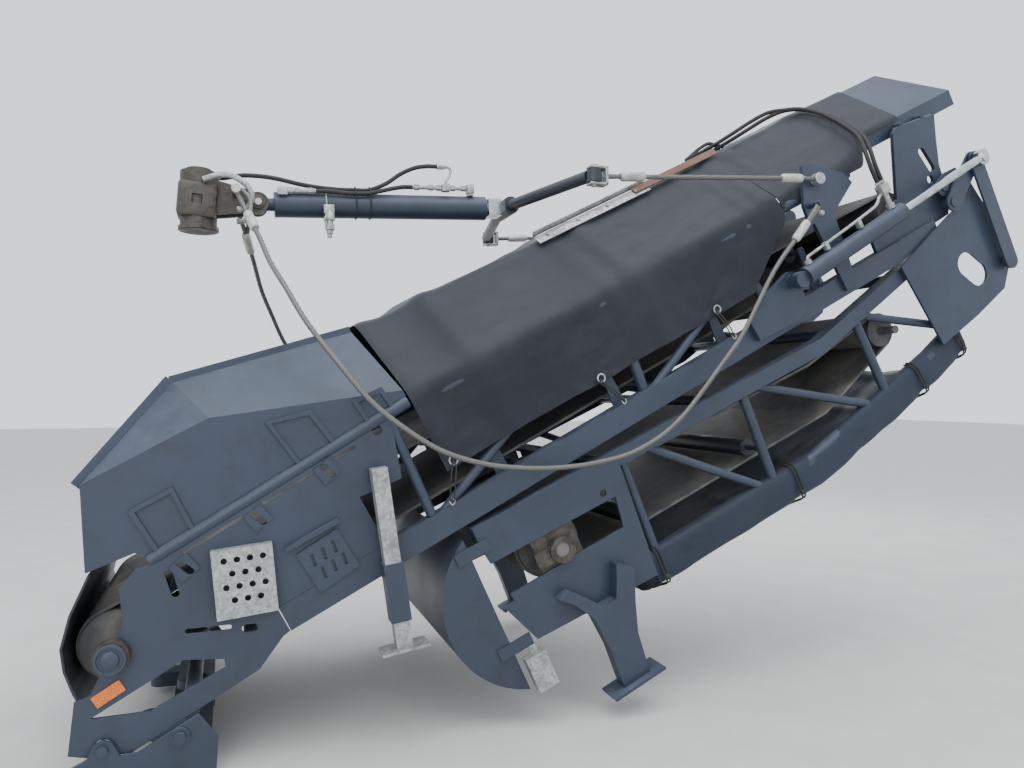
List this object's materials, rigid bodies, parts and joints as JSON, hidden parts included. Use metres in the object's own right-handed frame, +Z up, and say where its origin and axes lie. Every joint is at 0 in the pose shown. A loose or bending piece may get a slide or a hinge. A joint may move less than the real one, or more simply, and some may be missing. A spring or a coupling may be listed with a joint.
{
  "type": "folding discharge conveyor",
  "caption": "Folding discharge conveyor of a cold planer, folded under itself, with tarpaulin covers, lattice outer section and a luffing cylinder with stay ropes.",
  "frame": {"origin": "middle of the king pin bore, on the vertical slew axis under the conveyor's tail", "axes": "+X forward along the conveyor towards the fold, +Y towards the far side, +Z up"},
  "size_m": [4.3779, 1.5598, 3.0741],
  "materials": {
    "slate_blue_paint": "semi-gloss",
    "dark_grey_paint": "satin",
    "grey_tarpaulin": "matt",
    "black_rubber": "matt",
    "galvanised_steel": "satin",
    "chromed_steel": "polished",
    "cast_iron": "rough",
    "orange_reflector": "glossy"
  },
  "bodies": {
    "root": {"slew_yoke": "slate_blue_paint", "yoke_arms": "slate_blue_paint", "gantry_knuckle": "cast_iron"},
    "lift_barrel": {"lift_barrel": "slate_blue_paint"},
    "lift_rod": {"lift_rod": "chromed_steel", "spreader_beam": "dark_grey_paint", "stay_ropes": "galvanised_steel"},
    "inner": {"safety_rope_near": "galvanised_steel", "safety_rope_far": "galvanised_steel", "upper_frame_near": "slate_blue_paint", "upper_frame_far": "slate_blue_paint", "cover_hoops": "slate_blue_paint", "idler_brackets": "slate_blue_paint", "tail_frame_near": "slate_blue_paint", "tail_frame_far": "slate_blue_paint", "tail_bearings": "cast_iron", "tail_guard": "dark_grey_paint", "feed_hopper": "slate_blue_paint", "head_roller": "black_rubber", "inner_rail_near": "slate_blue_paint", "inner_rail_far": "slate_blue_paint", "inner_cross_members": "slate_blue_paint", "inner_idlers": "dark_grey_paint", "inner_belt": "black_rubber", "head_frame": "slate_blue_paint", "head_deflector": "slate_blue_paint", "main_cover": "grey_tarpaulin", "head_cover": "grey_tarpaulin", "rope_anchors": "slate_blue_paint", "fold_brackets": "slate_blue_paint", "step_plates": "galvanised_steel", "vent_plates": "slate_blue_paint", "reflectors": "orange_reflector", "jack_sleeves": "slate_blue_paint"},
    "tail_drum": {"tail_drum": "black_rubber"},
    "jack_leg_near": {"jack_leg_near": "galvanised_steel"},
    "jack_leg_far": {"jack_leg_far": "galvanised_steel"},
    "fold_barrels": {"fold_barrels": "slate_blue_paint"},
    "fold_rods": {"fold_rods": "chromed_steel"},
    "fold_cranks": {"fold_cranks": "slate_blue_paint"},
    "fold_couplers": {"fold_couplers": "slate_blue_paint"},
    "outer": {"outer_truss_near": "slate_blue_paint", "outer_truss_far": "slate_blue_paint", "outer_cross_members": "slate_blue_paint", "root_plates": "slate_blue_paint", "outer_rollers": "dark_grey_paint", "outer_belt": "black_rubber", "root_roller": "black_rubber", "drive_plates": "slate_blue_paint", "take_up_bearings": "cast_iron", "discharge_hood": "slate_blue_paint", "outer_cover": "grey_tarpaulin", "support_stands": "slate_blue_paint", "work_lamp": "galvanised_steel"},
    "drive_drum": {"drive_drum": "black_rubber"}
  },
  "joints": [
    {"name": "luff", "type": "hinge", "parent": "root", "child": "inner", "pos_m": [-0.029, 0, 0.06], "axis": [0, -1, 0], "range_deg": [-20, 0]},
    {"name": "lift_pitch", "type": "hinge", "parent": "root", "child": "lift_barrel", "pos_m": [0.242, 0, 2.082], "axis": [0, -1, 0], "range_deg": [-22, 0]},
    {"name": "lift_slide", "type": "slide", "parent": "lift_barrel", "child": "lift_rod", "axis": [0.998, 0, 0.0634], "range_m": [0, 0.72]},
    {"name": "tail_drum_spin", "type": "hinge", "parent": "inner", "child": "tail_drum", "pos_m": [-0.24506, 0, 0.35793], "axis": [0, -1, 0], "continuous": true},
    {"name": "jack_near", "type": "slide", "parent": "inner", "child": "jack_leg_near", "axis": [0.1448, 0, -0.9895], "range_m": [0, 0.3]},
    {"name": "jack_far", "type": "slide", "parent": "inner", "child": "jack_leg_far", "axis": [0.1448, 0, -0.9895], "range_m": [0, 0.3]},
    {"name": "fold", "type": "hinge", "parent": "inner", "child": "outer", "pos_m": [3.51543, 0, 2.29249], "axis": [0, -1, 0], "range_deg": [0, 178]},
    {"name": "crank", "type": "hinge", "parent": "inner", "child": "fold_cranks", "pos_m": [3.55699, 0, 2.21266], "axis": [0, -1, 0], "range_deg": [0, 140]},
    {"name": "coupler", "type": "hinge", "parent": "fold_cranks", "child": "fold_couplers", "pos_m": [3.68499, 0, 2.43766], "axis": [0, -1, 0], "range_deg": [0, 40]},
    {"name": "fold_pitch", "type": "hinge", "parent": "inner", "child": "fold_barrels", "pos_m": [2.56399, 0, 1.76366], "axis": [0, -1, 0], "range_deg": [-6, 0]},
    {"name": "fold_slide", "type": "slide", "parent": "fold_barrels", "child": "fold_rods", "axis": [0.857, 0, 0.5153], "range_m": [-0.48, 0]},
    {"name": "drive_drum_spin", "type": "hinge", "parent": "outer", "child": "drive_drum", "pos_m": [1.41316, 0, 0.60911], "axis": [0, -1, 0], "continuous": true}
  ],
  "couplings": [
    {"joint": "lift_pitch", "follows": "luff", "ratio": 1.03},
    {"joint": "lift_slide", "follows": "luff", "m_per_rad": -2.03},
    {"joint": "crank", "follows": "fold", "ratio": 0.77},
    {"joint": "coupler", "follows": "fold", "ratio": 0.208},
    {"joint": "fold_pitch", "follows": "fold", "ratio": -0.0253},
    {"joint": "fold_slide", "follows": "fold", "m_per_rad": -0.1526}
  ]
}
